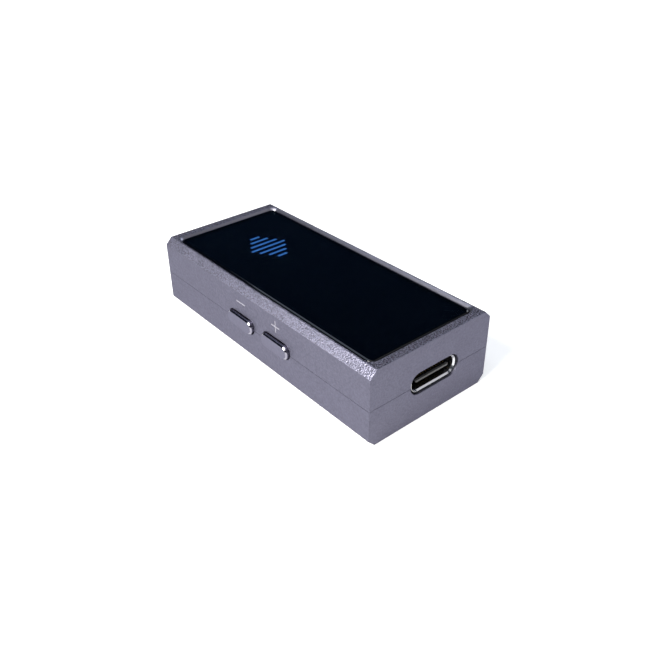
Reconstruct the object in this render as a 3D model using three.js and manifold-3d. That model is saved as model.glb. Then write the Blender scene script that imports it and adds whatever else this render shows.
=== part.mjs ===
// A pocket USB audio converter: a two-shell aluminium stick with a USB-C socket in one end, two headphone
// jacks in the other, a pair of side buttons and a black glass top with a lit level-bar emblem.
//
// Millimetres, +Z up. The origin is the centre of the bottom face. +X points out of the USB-C end,
// and the buttons are on the -Y side.
import * as THREE from "three";
import { mergeVertices } from "three/addons/utils/BufferGeometryUtils.js";
import Module from "manifold-3d";

const wasm = await Module();
wasm.setup();

// ---------------------------------------------------------------- driving dimensions
const LENGTH = 51.8;
const WIDTH = 23.7;
const HEIGHT = 12.6;
const CHAMFER = 1.15; // bevel along the four long edges
const SEAM_Z = 6.2; // plane where the two shells meet
const END_WALL = 1.3;
const SIDE_WALL = 1.35;
const FLOOR = 1.2;
const ROOF_Z = 9.8; // ceiling of the cavity
const CAVITY_RADIUS = 1.2;
const TOUCH = 0.02; // left between two faces that rest on each other
const RUN = 0.15; // left round a piece that slides or stands in a cut-out

const LIP = { thick: 0.45, height: 0.6, gap: 0.05 }; // the lower shell's lip stands inside the upper wall
const RECESS = { endRim: 1.38, sideRim: 0.22, radius: 1.5, bevel: 0.4, depth: 1.2 };
const GLASS = { thick: 0.8, gap: 0.12, sunk: 0.25, edgeWidth: 0.3, edgeDrop: 0.15 };
const TAPE = { inset: 0.4, opening: 1.2 };
const MARK = { z: 9.7, depth: 0.06, stroke: 0.34, minusLength: 2.4, plusLength: 2.1 };
const EMBLEM = { x: -12.5, y: 0.4, pitch: 1.33, stroke: 0.5, heights: [1.9, 3.6, 5.4, 6.9, 5.4, 3.6, 1.9] };
const LIGHT_PORT = { length: 10.4, width: 9, radius: 1 }; // hole in the roof for the light guide
const LIGHT_BOARD = { x: -9.1, length: 5, width: 7.6, bottom: 8.5, top: 9 };
const LED = { y: 2.2, length: 1.6, width: 1.2, height: 0.6 };
const BRACKET = { wall: 0.7, roof: 0.5, length: 3.6 };
const CABLE = { thick: 0.15, width: 3, upperTab: 0.6, lowerTab: 1.4 };

const BUTTON = {
  z: 6.42,
  slotLength: 6.8,
  slotHeight: 2.7,
  proud: 0.6,
  edge: 0.22,
  lip: 0.55,
  lipThick: 0.45,
};
const BUTTON_X = { minus: -3.35, plus: 5.6 };
const SWITCH = { length: 4, front: -9.3, back: -6.9, plate: 0.15, backWall: 0.5, bore: 0.8 };
const PLUNGER = { radius: 0.7, back: -8.95 };

const USB = { y: 0.7, z: 6.4, width: 8.94, height: 3.2, radius: 1.45, wall: 0.3, sunk: 0.3, length: 7.2 };
const USB_CUTOUT = { width: 9.65, height: 3.66, radius: 1.75 };
const USB_TONGUE = { width: 6.69, thick: 0.7, sunk: 0.25, radius: 0.3 };
const USB_HOUSING = { depth: 1.6, backWall: 0.4 };

const BOARD_THICK = 0.8;
const BOARD_TOP = USB.z - USB.height / 2 - TOUCH;
const BOARD_BOTTOM = BOARD_TOP - BOARD_THICK;
const BOARD = { x: 24.2, y: 9.6, cornerX: 21.2, cornerY: 7.2 };
const JACK_NOTCH = { end: -11.6, low: -7.4, high: 7.6 }; // cut into the board so that the jacks sit low
const SHIELD = { at: [2, 2], size: [7.4, 7.4], height: 1.7, wall: 0.2 };
const JACK_Z = 5.9;
const JACK_FACE = 0.05; // how far the metal collars stand back from the end face
const JACKS = {
  jack_4_4: {
    y: 3.2,
    width: 8.2,
    height: 7.4,
    length: 11.8,
    bore: 2.25,
    collar: 3.1,
    contacts: [-20.6, -18, -15.4],
  },
  jack_3_5: {
    y: -4.25,
    width: 5.8,
    height: 5.2,
    length: 10.8,
    bore: 1.8,
    collar: 2.5,
    contacts: [-20.2, -16.6],
  },
};
const COLLAR_LENGTH = 3.6;
const JACK_BACK_WALL = 1;
const CONTACT = { width: 0.7, thick: 1, reach: 0.12, tail: 0.3 };

const CASE_SCREW = {
  x: 23.1,
  y: 9.1,
  boss: 1.6,
  head: 1.4,
  thread: 0.65,
  clearance: 0.85,
  sunk: 0.12,
  tip: 8.7,
  holeEnd: 9.2,
  drive: { span: 1.5, width: 0.36, depth: 0.5 },
};
const BOARD_SCREW = {
  post: 1.4,
  head: 1.15,
  headHeight: 0.55,
  thread: 0.5,
  length: 2.6,
  holeEnd: 1.5,
  drive: { span: 1.2, width: 0.3, depth: 0.35 },
};
const BOARD_SCREW_PLACES = [
  [15.6, 8],
  [15.6, -8],
  [-9, 8],
];

const ARC = 6; // straight pieces in each quarter circle
const END_X = LENGTH / 2;
const SIDE_Y = WIDTH / 2;
const CAVITY_X = END_X - END_WALL;
const CAVITY_Y = SIDE_Y - SIDE_WALL;
const OVER = 1; // how far a cutting solid runs past what it cuts

// ---------------------------------------------------------------- materials
function finish(colour, roughness, metalness) {
  return new THREE.MeshStandardMaterial({ color: colour, roughness, metalness, flatShading: true });
}
const GREY_ALUMINIUM = finish(0x7d7b8c, 0.45, 0.9);
const BLACK_GLASS = finish(0x05060b, 0.05, 0);
const STEEL = finish(0xb9b9bc, 0.3, 1);
const DARK_STEEL = finish(0x3a3a40, 0.4, 1);
const GOLD = finish(0xd2a54a, 0.3, 1);
const BLACK_PLASTIC = finish(0x141416, 0.6, 0);
const WHITE_PLASTIC = finish(0xdfe6f2, 0.5, 0);
const BLACK_FILM = finish(0x0b0b0d, 0.7, 0);
const ADHESIVE = finish(0x26262a, 0.8, 0);
const AMBER_FILM = finish(0x8a5a1c, 0.4, 0);
const GREEN_BOARD = finish(0x0e3a2a, 0.5, 0);
const CHIP = finish(0x17171a, 0.55, 0);
const TANTALUM = finish(0xb5892f, 0.5, 0);

// ---------------------------------------------------------------- solids
/** A closed three.js geometry as a manifold solid. */
function solidOf(geometry) {
  const bare = new THREE.BufferGeometry();
  bare.setAttribute("position", geometry.getAttribute("position"));
  bare.setIndex(geometry.getIndex());
  const merged = mergeVertices(bare, 1e-4);
  return new wasm.Manifold(
    new wasm.Mesh({
      numProp: 3,
      vertProperties: merged.getAttribute("position").array,
      triVerts: new Uint32Array(merged.getIndex().array),
    }),
  );
}

/** A manifold solid as a three.js geometry, with flat faces freed of needless corners. */
function geometryOf(solid) {
  const { vertProperties, triVerts } = solid.asOriginal().getMesh();
  const geometry = new THREE.BufferGeometry();
  geometry.setAttribute("position", new THREE.BufferAttribute(vertProperties, 3));
  geometry.setIndex(new THREE.BufferAttribute(triVerts, 1));
  geometry.computeVertexNormals();
  return geometry;
}

/** A box between two opposite corners. */
function block([x0, y0, z0], [x1, y1, z1]) {
  const box = new THREE.BoxGeometry(x1 - x0, y1 - y0, z1 - z0);
  box.translate((x0 + x1) / 2, (y0 + y1) / 2, (z0 + z1) / 2);
  return solidOf(box);
}

/** A box of a given size standing on a height, centred on a point of the plan. */
function slab([x, y], [length, width], bottom, top) {
  return block([x - length / 2, y - width / 2, bottom], [x + length / 2, y + width / 2, top]);
}

/** A rectangle with round corners, centred on the origin. */
function roundedRectangle(width, height, radius) {
  const [x, y] = [width / 2 - radius, height / 2 - radius];
  const quarter = Math.PI / 2;
  const shape = new THREE.Shape();
  shape.absarc(x, y, radius, 0, quarter);
  shape.absarc(-x, y, radius, quarter, 2 * quarter);
  shape.absarc(-x, -y, radius, 2 * quarter, 3 * quarter);
  shape.absarc(x, -y, radius, 3 * quarter, 4 * quarter);
  shape.closePath();
  return shape;
}

/** Turns a geometry built along +Z so that it runs along another axis. */
function turn(geometry, axis) {
  if (axis === "x") {
    return geometry.applyMatrix4(new THREE.Matrix4().set(0, 0, 1, 0, 1, 0, 0, 0, 0, 1, 0, 0, 0, 0, 0, 1));
  }
  if (axis === "y") {
    return geometry.applyMatrix4(new THREE.Matrix4().set(-1, 0, 0, 0, 0, 0, 1, 0, 0, 1, 0, 0, 0, 0, 0, 1));
  }
  return geometry;
}

/** A flat outline pushed from start to end along an axis, with both rims bevelled when asked. */
function prism(shape, start, end, axis = "z", bevel = { size: 0, drop: 0, steps: 1 }) {
  const geometry = new THREE.ExtrudeGeometry(shape, {
    depth: end - start - 2 * bevel.drop,
    bevelEnabled: bevel.drop > 0,
    bevelThickness: bevel.drop,
    bevelSize: bevel.size,
    bevelOffset: -bevel.size,
    bevelSegments: bevel.steps,
    curveSegments: ARC,
  });
  geometry.translate(0, 0, start + bevel.drop);
  return solidOf(turn(geometry, axis));
}

/** A round bar along an axis, through a point given in the other two axes. */
function rod(radius, start, end, [u, v], axis = "z", tipRadius = radius) {
  const geometry = new THREE.CylinderGeometry(tipRadius, radius, end - start, 4 * ARC);
  geometry.rotateX(Math.PI / 2);
  geometry.translate(0, 0, (start + end) / 2);
  const offset = { x: [0, u, v], y: [u, 0, v], z: [u, v, 0] }[axis];
  return solidOf(turn(geometry, axis)).translate(offset);
}

function union(solids) {
  return solids.reduce((all, one) => all.add(one));
}

function cut(solid, tools) {
  return tools.reduce((left, tool) => left.subtract(tool), solid);
}

const device = new THREE.Group();
device.name = "usb_audio_converter";

/** Adds one named piece to the device. */
function piece(name, solid, material) {
  const mesh = new THREE.Mesh(geometryOf(solid), material);
  mesh.name = name;
  device.add(mesh);
}

// ---------------------------------------------------------------- shapes both shells share
const fourCorners = [1, -1].flatMap((sx) => [1, -1].map((sy) => [sx * CASE_SCREW.x, sy * CASE_SCREW.y]));

/** The openings for the socket, the jack collars and the buttons. */
function wallOpenings() {
  const cutout = roundedRectangle(USB_CUTOUT.width, USB_CUTOUT.height, USB_CUTOUT.radius);
  const socket = prism(cutout, CAVITY_X - OVER, END_X + OVER, "x").translate([0, USB.y, USB.z]);
  const collars = Object.values(JACKS).map((jack) =>
    rod(jack.collar + RUN / 2, -END_X - OVER, -CAVITY_X + OVER, [jack.y, JACK_Z], "x"),
  );
  const stadium = roundedRectangle(BUTTON.slotLength, BUTTON.slotHeight, BUTTON.slotHeight / 2);
  const slots = Object.values(BUTTON_X).map((x) =>
    prism(stadium, -SIDE_Y - OVER, -CAVITY_Y + OVER, "y").translate([x, 0, BUTTON.z]),
  );
  return [socket, ...collars, ...slots];
}

/** The outer block of both shells, its four long edges bevelled. */
function outerBlock() {
  const [y, z, c] = [SIDE_Y, HEIGHT, CHAMFER];
  const corners = [
    [-y + c, 0],
    [y - c, 0],
    [y, c],
    [y, z - c],
    [y - c, z],
    [-y + c, z],
    [-y, z - c],
    [-y, c],
  ];
  const profile = new THREE.Shape(corners.map(([u, v]) => new THREE.Vector2(u, v)));
  return prism(profile, -END_X, END_X, "x");
}

/** The plan of the cavity, grown on every side, between two heights. */
function cavityPrism(grow, bottom, top) {
  const plan = roundedRectangle(2 * (CAVITY_X + grow), 2 * (CAVITY_Y + grow), CAVITY_RADIUS + grow);
  return prism(plan, bottom, top);
}

/** Everything of the outer block between two heights. */
function layer(bottom, top) {
  return block([-END_X - OVER, -SIDE_Y - OVER, bottom], [END_X + OVER, SIDE_Y + OVER, top]);
}

// ---------------------------------------------------------------- upper shell
const recess = {
  length: LENGTH - 2 * (RECESS.endRim + RECESS.bevel),
  width: WIDTH - 2 * (CHAMFER + RECESS.sideRim + RECESS.bevel),
  radius: RECESS.radius - RECESS.bevel,
  floor: HEIGHT - RECESS.depth,
};

/** The recess for the glass: straight walls with a bevelled mouth. */
function windowRecess() {
  const { bevel } = RECESS;
  const walls = roundedRectangle(recess.length, recess.width, recess.radius);
  const mouth = roundedRectangle(recess.length + 2 * bevel, recess.width + 2 * bevel, RECESS.radius);
  const slope = { size: bevel, drop: bevel, steps: 1 };
  return prism(walls, recess.floor, HEIGHT).add(prism(mouth, HEIGHT - bevel, HEIGHT + OVER, "z", slope));
}

/** The minus and plus signs cut shallowly into the wall above the buttons. */
function marks() {
  const [outer, inner] = [-SIDE_Y - OVER, -SIDE_Y + MARK.depth];
  const bar = (x, length, height) =>
    block([x - length / 2, outer, MARK.z - height / 2], [x + length / 2, inner, MARK.z + height / 2]);
  return [
    bar(BUTTON_X.minus, MARK.minusLength, MARK.stroke),
    bar(BUTTON_X.plus, MARK.plusLength, MARK.stroke),
    bar(BUTTON_X.plus, MARK.stroke, MARK.plusLength),
  ];
}

function upperShell() {
  const bottom = SEAM_Z + TOUCH;
  const half = outerBlock().subtract(layer(-OVER, bottom));
  const hollow = cavityPrism(0, bottom - OVER, ROOF_Z);
  const lipRecess = cavityPrism(LIP.thick + LIP.gap, bottom - OVER, SEAM_Z + LIP.height + LIP.gap);
  const portPlan = roundedRectangle(LIGHT_PORT.length, LIGHT_PORT.width, LIGHT_PORT.radius);
  const port = prism(portPlan, ROOF_Z - OVER, recess.floor + OVER).translate([EMBLEM.x, 0, 0]);
  const bosses = fourCorners.map((at) => rod(CASE_SCREW.boss, bottom, ROOF_Z + TOUCH, at));
  const threadRadius = CASE_SCREW.thread + TOUCH;
  const threads = fourCorners.map((at) => rod(threadRadius, bottom - OVER, CASE_SCREW.holeEnd, at));
  const walls = cut(half, [hollow, lipRecess, windowRecess(), port]);
  return cut(union([walls, ...bosses]), [...threads, ...wallOpenings(), ...marks()]);
}
piece("upper_shell", upperShell(), GREY_ALUMINIUM);

// ---------------------------------------------------------------- lower shell
function lowerShell() {
  const top = SEAM_Z - TOUCH;
  const half = outerBlock().subtract(layer(top, HEIGHT + OVER));
  const lip = cavityPrism(LIP.thick, top - LIP.height, SEAM_Z + LIP.height);
  const bosses = fourCorners.map((at) => rod(CASE_SCREW.boss, FLOOR - TOUCH, top, at));
  const posts = BOARD_SCREW_PLACES.map((at) =>
    rod(BOARD_SCREW.post, FLOOR - TOUCH, BOARD_BOTTOM - TOUCH, at),
  );
  const hollow = cavityPrism(0, FLOOR, HEIGHT);
  const notches = fourCorners.map((at) => rod(CASE_SCREW.boss + RUN, top, HEIGHT, at));
  const postHoles = BOARD_SCREW_PLACES.map((at) =>
    rod(BOARD_SCREW.thread + TOUCH, BOARD_SCREW.holeEnd, HEIGHT, at),
  );
  const walls = cut(union([half, lip]), [hollow, ...notches]);
  const holes = [...fourCorners.map(screwHole), ...postHoles, ...wallOpenings()];
  return cut(union([walls, ...bosses, ...posts]), holes);
}

/** The hole a case screw stands in: a straight mouth, a cone, then a clearance bore. */
function screwHole([x, y]) {
  const [mouth, bore, rim] = [CASE_SCREW.head + TOUCH, CASE_SCREW.clearance, CASE_SCREW.sunk];
  const outline = [
    [0, -OVER],
    [mouth, -OVER],
    [mouth, rim],
    [bore, rim + mouth - bore],
    [bore, HEIGHT],
    [0, HEIGHT],
  ];
  const geometry = new THREE.LatheGeometry(
    outline.map(([radius, height]) => new THREE.Vector2(radius, height)),
    4 * ARC,
  );
  geometry.rotateX(Math.PI / 2);
  geometry.translate(x, y, 0);
  return solidOf(geometry);
}
piece("lower_shell", lowerShell(), GREY_ALUMINIUM);

// ---------------------------------------------------------------- screws
/** The cross that a driver turns, cut upwards from below the origin to a height. */
function cross({ span, width }, top) {
  const arm = block([-span / 2, -width / 2, -OVER], [span / 2, width / 2, top]);
  return arm.add(arm.rotate([0, 0, 90]));
}

function caseScrew() {
  const { head, thread, sunk, tip, drive } = CASE_SCREW;
  const cone = rod(head, sunk, sunk + head - thread, [0, 0], "z", thread);
  const shank = rod(thread - TOUCH, sunk + TOUCH, tip, [0, 0]);
  return cone.add(shank).subtract(cross(drive, sunk + drive.depth));
}

function boardScrew() {
  const { head, headHeight, thread, length, drive } = BOARD_SCREW;
  const cap = rod(head, 0, headHeight, [0, 0]);
  const shank = rod(thread - TOUCH, -length, TOUCH, [0, 0]);
  const socket = cross(drive, drive.depth).rotate([180, 0, 0]).translate([0, 0, headHeight]);
  return cap.add(shank).subtract(socket);
}
fourCorners.forEach(([x, y], i) => {
  piece(`case_screw_${i + 1}`, caseScrew().translate([x, y, 0]), DARK_STEEL);
});
BOARD_SCREW_PLACES.forEach(([x, y], i) => {
  piece(`board_screw_${i + 1}`, boardScrew().translate([x, y, BOARD_TOP + TOUCH]), DARK_STEEL);
});

// ---------------------------------------------------------------- glass and emblem light
function windowGlass() {
  const top = HEIGHT - GLASS.sunk;
  const plan = roundedRectangle(
    recess.length - 2 * GLASS.gap,
    recess.width - 2 * GLASS.gap,
    recess.radius - GLASS.gap,
  );
  const edge = { size: GLASS.edgeWidth, drop: GLASS.edgeDrop, steps: 1 };
  const bottom = top - GLASS.thick;
  return prism(plan, bottom - GLASS.edgeDrop, top, "z", edge).subtract(layer(-OVER, bottom));
}
piece("window_glass", windowGlass(), BLACK_GLASS);

const tapeTop = HEIGHT - GLASS.sunk - GLASS.thick - TOUCH;

function windowTape() {
  const bottom = recess.floor + TOUCH;
  const plan = roundedRectangle(
    recess.length - 2 * TAPE.inset,
    recess.width - 2 * TAPE.inset,
    recess.radius,
  );
  const opening = slab(
    [EMBLEM.x, 0],
    [LIGHT_PORT.length + 2 * TAPE.opening, LIGHT_PORT.width + 2 * TAPE.opening],
    bottom - OVER,
    tapeTop + OVER,
  );
  return prism(plan, bottom, tapeTop).subtract(opening);
}
piece("window_tape", windowTape(), ADHESIVE);

/** Black film with the level bars cut out of it, so that only they light up. */
function emblemFilm() {
  const [bottom, top] = [recess.floor + TOUCH, tapeTop];
  const size = [LIGHT_PORT.length + TAPE.opening, LIGHT_PORT.width + TAPE.opening];
  const sheet = slab([EMBLEM.x, 0], size, bottom, top);
  const middle = (EMBLEM.heights.length - 1) / 2;
  const bars = EMBLEM.heights.map((height, i) => {
    const x = EMBLEM.x + (i - middle) * EMBLEM.pitch;
    return slab([x, EMBLEM.y], [EMBLEM.stroke, height], bottom - OVER, top + OVER);
  });
  return cut(sheet, bars);
}
piece("emblem_film", emblemFilm(), BLACK_FILM);

function lightGuide() {
  const plan = roundedRectangle(
    LIGHT_PORT.length - RUN,
    LIGHT_PORT.width - RUN,
    LIGHT_PORT.radius - RUN / 2,
  );
  return prism(plan, ROOF_Z + TOUCH, recess.floor).translate([EMBLEM.x, 0, 0]);
}
piece("emblem_light_guide", lightGuide(), WHITE_PLASTIC);

piece(
  "light_board",
  slab([LIGHT_BOARD.x, 0], [LIGHT_BOARD.length, LIGHT_BOARD.width], LIGHT_BOARD.bottom, LIGHT_BOARD.top),
  GREEN_BOARD,
);
[-LED.y, LED.y].forEach((y, i) => {
  const bottom = LIGHT_BOARD.top + TOUCH;
  const led = slab([LIGHT_BOARD.x, y], [LED.length, LED.width], bottom, bottom + LED.height);
  piece(`light_led_${i + 1}`, led, WHITE_PLASTIC);
});

/** A small arch that stands on the circuit board and holds the light board up under the roof. */
function lightBracket() {
  const top = LIGHT_BOARD.bottom - TOUCH;
  const bottom = BOARD_TOP + TOUCH;
  const arch = slab([LIGHT_BOARD.x, 0], [BRACKET.length, LIGHT_BOARD.width], bottom, top);
  const under = slab(
    [LIGHT_BOARD.x, 0],
    [BRACKET.length + 2 * OVER, LIGHT_BOARD.width - 2 * BRACKET.wall],
    bottom - OVER,
    top - BRACKET.roof,
  );
  return arch.subtract(under);
}
piece("light_bracket", lightBracket(), BLACK_PLASTIC);

/** The flat cable that drops from the light board to the circuit board. */
function lightCable() {
  const x = LIGHT_BOARD.x + LIGHT_BOARD.length / 2;
  const { thick, width, upperTab, lowerTab } = CABLE;
  const [low, high] = [BOARD_TOP + TOUCH, LIGHT_BOARD.bottom - TOUCH];
  const outer = block([x - lowerTab, -width / 2, low], [x + thick, width / 2, high]);
  const above = block([x - lowerTab - OVER, -width, low + thick], [x - upperTab, width, high + OVER]);
  const behind = block([x - upperTab - OVER, -width, low + thick], [x, width, high - thick]);
  return cut(outer, [above, behind]);
}
piece("light_cable", lightCable(), AMBER_FILM);

// ---------------------------------------------------------------- circuit board
function circuitBoard() {
  const [low, high] = [BOARD_BOTTOM - OVER, BOARD_TOP + OVER];
  const plate = block([-BOARD.x, -BOARD.y, BOARD_BOTTOM], [BOARD.x, BOARD.y, BOARD_TOP]);
  const notch = block([-BOARD.x - OVER, JACK_NOTCH.low, low], [JACK_NOTCH.end, JACK_NOTCH.high, high]);
  const corner = block([BOARD.cornerX, BOARD.cornerY, low], [END_X, SIDE_Y, high]);
  const rightCorners = corner.add(corner.mirror([0, 1, 0]));
  const leftCorners = rightCorners.mirror([1, 0, 0]);
  const holes = BOARD_SCREW_PLACES.map((at) => rod(BOARD_SCREW.thread + RUN, low, high, at));
  return cut(plate, [notch, rightCorners, leftCorners, ...holes]);
}
piece("circuit_board", circuitBoard(), GREEN_BOARD);

// Each row: name, centre in plan, size in plan, height, material.
const TOP_PARTS = [
  ["dac_chip", [2, 2], [5, 5], 0.9, CHIP],
  ["usb_bridge_chip", [12.4, 1.5], [6, 6], 0.9, CHIP],
  ["amplifier_chip_1", [-4.6, 5], [3, 3], 0.8, CHIP],
  ["amplifier_chip_2", [-4.6, 0.4], [3, 3], 0.8, CHIP],
  ["clock_crystal_1", [12.4, 7.2], [2.5, 2], 0.8, STEEL],
  ["clock_crystal_2", [7, 7.2], [2.5, 2], 0.8, STEEL],
  ["power_inductor", [11.8, -5], [4, 4], 2, CHIP],
];
const UNDER_PARTS = [
  ["power_chip", [11.8, -4.4], [3, 3], 0.8, CHIP],
  ["tantalum_capacitor_1", [-6.4, 4.5], [3.2, 1.6], 1.6, TANTALUM],
  ["tantalum_capacitor_2", [-2, 4.5], [3.2, 1.6], 1.6, TANTALUM],
  ["tantalum_capacitor_3", [2.4, 4.5], [3.2, 1.6], 1.6, TANTALUM],
];
TOP_PARTS.forEach(([name, at, size, height, material]) => {
  const bottom = BOARD_TOP + TOUCH;
  piece(name, slab(at, size, bottom, bottom + height), material);
});
UNDER_PARTS.forEach(([name, at, size, height, material]) => {
  const top = BOARD_BOTTOM - TOUCH;
  piece(name, slab(at, size, top - height, top), material);
});

/** A folded steel lid over the converter chip, open underneath. */
function shieldCan() {
  const { at, size, height, wall } = SHIELD;
  const top = BOARD_TOP + height;
  const outer = slab(at, size, BOARD_TOP + TOUCH, top);
  const inner = slab(at, size.map((side) => side - 2 * wall), BOARD_TOP - OVER, top - wall);
  return outer.subtract(inner);
}
piece("shield_can", shieldCan(), STEEL);

// ---------------------------------------------------------------- USB-C socket
const usbFront = END_X - USB.sunk;
const usbBack = usbFront - USB.length;

function usbShell() {
  const { width, height, radius, wall } = USB;
  const outside = roundedRectangle(width, height, radius);
  const inside = roundedRectangle(width - 2 * wall, height - 2 * wall, radius - wall);
  return prism(outside, usbBack, usbFront, "x")
    .subtract(prism(inside, usbBack - OVER, usbFront + OVER, "x"))
    .translate([0, USB.y, USB.z]);
}
piece("usb_shell", usbShell(), STEEL);

/** The plastic plug that closes the back of the socket and holds the tongue. */
function usbHousing() {
  const gap = USB.wall + TOUCH;
  const plan = roundedRectangle(USB.width - 2 * gap, USB.height - 2 * gap, USB.radius - gap);
  const slot = roundedRectangle(
    USB_TONGUE.width + 2 * TOUCH,
    USB_TONGUE.thick + 2 * TOUCH,
    USB_TONGUE.radius,
  );
  return prism(plan, usbBack, usbBack + USB_HOUSING.depth, "x")
    .subtract(prism(slot, usbBack + USB_HOUSING.backWall, usbFront, "x"))
    .translate([0, USB.y, USB.z]);
}
piece("usb_housing", usbHousing(), BLACK_PLASTIC);

function usbTongue() {
  const plan = roundedRectangle(USB_TONGUE.width, USB_TONGUE.thick, USB_TONGUE.radius);
  const back = usbBack + USB_HOUSING.backWall + TOUCH;
  return prism(plan, back, usbFront - USB_TONGUE.sunk, "x").translate([0, USB.y, USB.z]);
}
piece("usb_tongue", usbTongue(), BLACK_PLASTIC);

// ---------------------------------------------------------------- buttons and their switches
function buttonCap(x) {
  const [length, height] = [BUTTON.slotLength - 2 * RUN, BUTTON.slotHeight - 2 * RUN];
  const face = roundedRectangle(length, height, height / 2);
  const behind = roundedRectangle(length + 2 * BUTTON.lip, height + 2 * BUTTON.lip, height / 2);
  const edge = { size: BUTTON.edge, drop: BUTTON.edge, steps: 1 };
  const wallFace = -CAVITY_Y + TOUCH;
  const cap = prism(face, -SIDE_Y - BUTTON.proud, wallFace + BUTTON.lipThick, "y", edge);
  const retainer = prism(behind, wallFace, wallFace + BUTTON.lipThick, "y");
  return cap.add(retainer).translate([x, 0, BUTTON.z]);
}

const switchSpan = { bottom: BOARD_TOP + TOUCH, top: 2 * BUTTON.z - BOARD_TOP - TOUCH };

function switchBody(x) {
  const { length, front, back, plate } = SWITCH;
  const half = length / 2 - plate - TOUCH;
  const top = switchSpan.top - plate - TOUCH;
  const solid = block([x - half, front, switchSpan.bottom], [x + half, back, top]);
  return solid.subtract(rod(SWITCH.bore, front - OVER, back - SWITCH.backWall, [x, BUTTON.z], "y"));
}

/** The folded steel strap over a switch. */
function switchStrap(x) {
  const { length, front, back, plate } = SWITCH;
  const outer = block([x - length / 2, front, switchSpan.bottom], [x + length / 2, back, switchSpan.top]);
  const inner = block(
    [x - length / 2 + plate, front - OVER, switchSpan.bottom - OVER],
    [x + length / 2 - plate, back + OVER, switchSpan.top - plate],
  );
  return outer.subtract(inner);
}

function switchPlunger(x) {
  const front = -CAVITY_Y + TOUCH + BUTTON.lipThick + TOUCH;
  return rod(PLUNGER.radius, front, PLUNGER.back, [x, BUTTON.z], "y");
}
Object.entries(BUTTON_X).forEach(([side, x]) => {
  piece(`${side}_button`, buttonCap(x), GREY_ALUMINIUM);
  piece(`${side}_switch_body`, switchBody(x), BLACK_PLASTIC);
  piece(`${side}_switch_strap`, switchStrap(x), STEEL);
  piece(`${side}_switch_plunger`, switchPlunger(x), WHITE_PLASTIC);
});

// ---------------------------------------------------------------- headphone jacks
const jackFront = -CAVITY_X + TOUCH;

/** The slot one contact stands in, from the bore down to the underside of the housing. */
function contactSlot(jack, x) {
  const size = [CONTACT.width + 2 * TOUCH, CONTACT.thick + 2 * TOUCH];
  return slab([x, jack.y], size, JACK_Z - jack.height / 2 - OVER, JACK_Z);
}

function jackHousing(jack) {
  const back = jackFront + jack.length;
  const [low, high] = [jack.y - jack.width / 2, jack.y + jack.width / 2];
  const solid = block([jackFront, low, JACK_Z - jack.height / 2], [back, high, JACK_Z + jack.height / 2]);
  const collarEnd = -END_X + JACK_FACE + COLLAR_LENGTH + TOUCH;
  const collarHole = rod(jack.collar + TOUCH, jackFront - OVER, collarEnd, [jack.y, JACK_Z], "x");
  const bore = rod(jack.bore, jackFront, back - JACK_BACK_WALL, [jack.y, JACK_Z], "x");
  return cut(solid, [collarHole, bore, ...jack.contacts.map((x) => contactSlot(jack, x))]);
}

function jackCollar(jack) {
  const start = -END_X + JACK_FACE;
  const [end, centre] = [start + COLLAR_LENGTH, [jack.y, JACK_Z]];
  const outside = rod(jack.collar, start, end, centre, "x");
  return outside.subtract(rod(jack.bore, start - OVER, end + OVER, centre, "x"));
}

function jackContact(jack, x) {
  const top = JACK_Z - jack.bore + CONTACT.reach;
  return slab([x, jack.y], [CONTACT.width, CONTACT.thick], JACK_Z - jack.height / 2 - CONTACT.tail, top);
}
Object.entries(JACKS).forEach(([name, jack]) => {
  piece(`${name}_housing`, jackHousing(jack), BLACK_PLASTIC);
  piece(`${name}_collar`, jackCollar(jack), name === "jack_4_4" ? GOLD : STEEL);
  jack.contacts.forEach((x, i) => {
    piece(`${name}_contact_${i + 1}`, jackContact(jack, x), GOLD);
  });
});

export default device;
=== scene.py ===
"""The looks of a pocket USB audio converter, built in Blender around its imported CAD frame.

All shapes are worked out in millimetres and become metres when a piece is placed. The frame's own
axes hold: +X out of the USB-C end, +Z up through the glass, and the buttons on the -Y side.
"""
import math

import bmesh
import bpy
from mathutils import Matrix, Vector

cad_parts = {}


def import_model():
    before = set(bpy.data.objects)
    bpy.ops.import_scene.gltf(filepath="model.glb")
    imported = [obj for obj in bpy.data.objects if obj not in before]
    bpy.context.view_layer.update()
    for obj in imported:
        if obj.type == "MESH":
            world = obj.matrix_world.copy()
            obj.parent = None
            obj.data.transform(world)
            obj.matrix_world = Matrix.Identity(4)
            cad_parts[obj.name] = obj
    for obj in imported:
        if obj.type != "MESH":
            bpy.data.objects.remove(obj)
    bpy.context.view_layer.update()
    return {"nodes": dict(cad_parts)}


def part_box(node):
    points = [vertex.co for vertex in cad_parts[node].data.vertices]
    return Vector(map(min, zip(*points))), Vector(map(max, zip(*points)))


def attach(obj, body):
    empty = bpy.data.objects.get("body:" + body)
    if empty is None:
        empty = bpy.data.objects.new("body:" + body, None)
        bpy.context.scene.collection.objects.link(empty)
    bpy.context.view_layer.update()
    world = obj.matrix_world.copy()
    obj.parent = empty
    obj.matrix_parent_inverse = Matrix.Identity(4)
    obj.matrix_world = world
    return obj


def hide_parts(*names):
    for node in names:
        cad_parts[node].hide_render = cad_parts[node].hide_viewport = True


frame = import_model()
MM = 0.001
CASE = "case"
ARC = 14  # straight pieces in each quarter circle


# ---------------------------------------------------------------- sizes, from the frame
def box_mm(node):
    """The lowest and highest corners of a CAD node, in millimetres."""
    low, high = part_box(node)
    return Vector(low) / MM, Vector(high) / MM


def middle(node):
    """The centre of a CAD node's box."""
    low, high = box_mm(node)
    return (low + high) / 2


def foot_point(node):
    """The point at floor height under the middle of a CAD node."""
    centre = middle(node)
    return centre.x, centre.y, 0


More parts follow.
